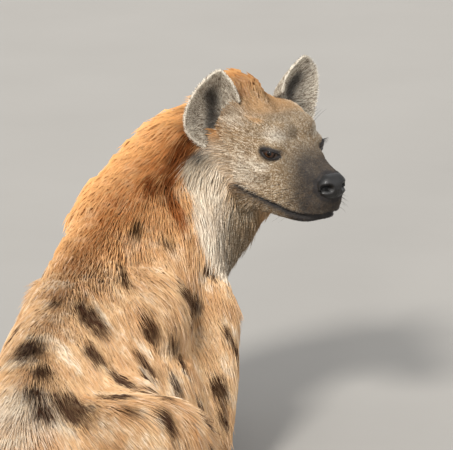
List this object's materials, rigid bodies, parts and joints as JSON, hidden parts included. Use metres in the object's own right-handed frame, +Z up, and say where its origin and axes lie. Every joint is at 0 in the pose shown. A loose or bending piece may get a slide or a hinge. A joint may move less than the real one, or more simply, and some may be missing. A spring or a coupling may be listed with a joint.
{
  "type": "spotted hyena, life-size still model",
  "caption": "Life-size spotted hyena lying on its chest, neck bent and head turned back over its right shoulder, with mane, round ears and short brush-tipped tail.",
  "frame": {"origin": "on the floor under the middle of the model's box", "axes": "+Z up, +Y along the trunk from rump to withers, +X to the animal's right"},
  "size_m": [0.6488, 1.1484, 0.5731],
  "materials": {
    "body_coat": "coarse tan fur with dark brown spots",
    "head_coat": "short grey-brown fur",
    "ear_coat": "short grey fur with a pale rim",
    "leg_coat": "short tan fur with faded spots",
    "tail_brush_hair": "long black hair",
    "nose_leather": "moist pebbled black skin",
    "eye": "wet dark brown eye"
  },
  "bodies": {
    "root": {"ear_left": "ear_coat", "ear_right": "ear_coat", "eye_left": "eye", "eye_right": "eye", "forepaw_left": "leg_coat", "forepaw_right": "leg_coat", "head": "head_coat", "hind_foot_left": "leg_coat", "hind_foot_right": "leg_coat", "hind_paw_left": "leg_coat", "hind_paw_right": "leg_coat", "lower_foreleg_left": "leg_coat", "lower_foreleg_right": "leg_coat", "neck": "body_coat", "nose": "nose_leather", "shank_left": "leg_coat", "shank_right": "leg_coat", "tail": "body_coat", "tail_brush": "tail_brush_hair", "thigh_left": "leg_coat", "thigh_right": "leg_coat", "torso": "body_coat", "upper_foreleg_left": "leg_coat", "upper_foreleg_right": "leg_coat"}
  },
  "joints": []
}
